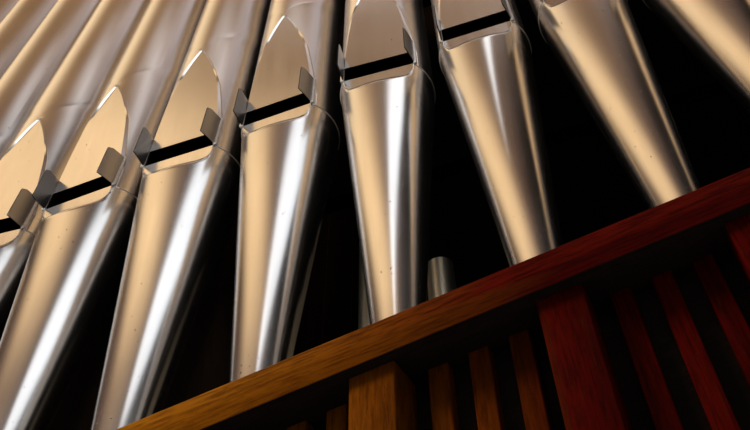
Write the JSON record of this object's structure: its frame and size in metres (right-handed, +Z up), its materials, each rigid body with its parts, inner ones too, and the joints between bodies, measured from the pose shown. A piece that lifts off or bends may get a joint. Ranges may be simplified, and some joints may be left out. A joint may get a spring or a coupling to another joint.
{
  "type": "pipe organ",
  "caption": "Pipe organ front: a flat row of satin metal flue pipes with pointed lips and ears, standing on a wind chest in a slatted red-brown wooden case with sides, back and roof.",
  "frame": {"origin": "middle of the base's box, at floor level", "axes": "+Z up, the tallest way; +Y from the pipe front to the back, the shortest way; +X to the right of someone facing the pipes"},
  "size_m": [1.912, 0.64, 3.472],
  "materials": {
    "pipe_metal": "satin planed tin alloy",
    "case_wood": "satin oiled red-brown hardwood",
    "inner_wood": "dull dark stained boards"
  },
  "bodies": {
    "root": {"facade_foot_01": "pipe_metal", "facade_foot_02": "pipe_metal", "facade_foot_03": "pipe_metal", "facade_foot_04": "pipe_metal", "facade_foot_05": "pipe_metal", "facade_foot_06": "pipe_metal", "facade_foot_07": "pipe_metal", "facade_foot_08": "pipe_metal", "facade_foot_09": "pipe_metal", "facade_foot_10": "pipe_metal", "facade_foot_11": "pipe_metal", "facade_foot_12": "pipe_metal", "facade_foot_13": "pipe_metal", "facade_foot_14": "pipe_metal", "facade_body_01": "pipe_metal", "facade_body_02": "pipe_metal", "facade_body_03": "pipe_metal", "facade_body_04": "pipe_metal", "facade_body_05": "pipe_metal", "facade_body_06": "pipe_metal", "facade_body_07": "pipe_metal", "facade_body_08": "pipe_metal", "facade_body_09": "pipe_metal", "facade_body_10": "pipe_metal", "facade_body_11": "pipe_metal", "facade_body_12": "pipe_metal", "facade_body_13": "pipe_metal", "facade_body_14": "pipe_metal", "ears": "pipe_metal", "inner_pipes": "pipe_metal", "corner_posts": "case_wood", "front_posts": "case_wood", "front_slats": "case_wood", "impost_rail": "case_wood", "cornice_rail": "case_wood", "case_rails": "case_wood", "side_panels": "case_wood", "back_stiles": "case_wood", "back_panels": "case_wood", "roof_board": "case_wood", "plinth_long_boards": "case_wood", "plinth_end_boards": "case_wood", "slat_battens": "inner_wood", "toe_board": "inner_wood", "facade_chest": "inner_wood", "pipe_rack": "inner_wood", "inner_chest": "inner_wood", "inner_panel": "inner_wood", "inner_brace": "inner_wood"}
  },
  "joints": []
}
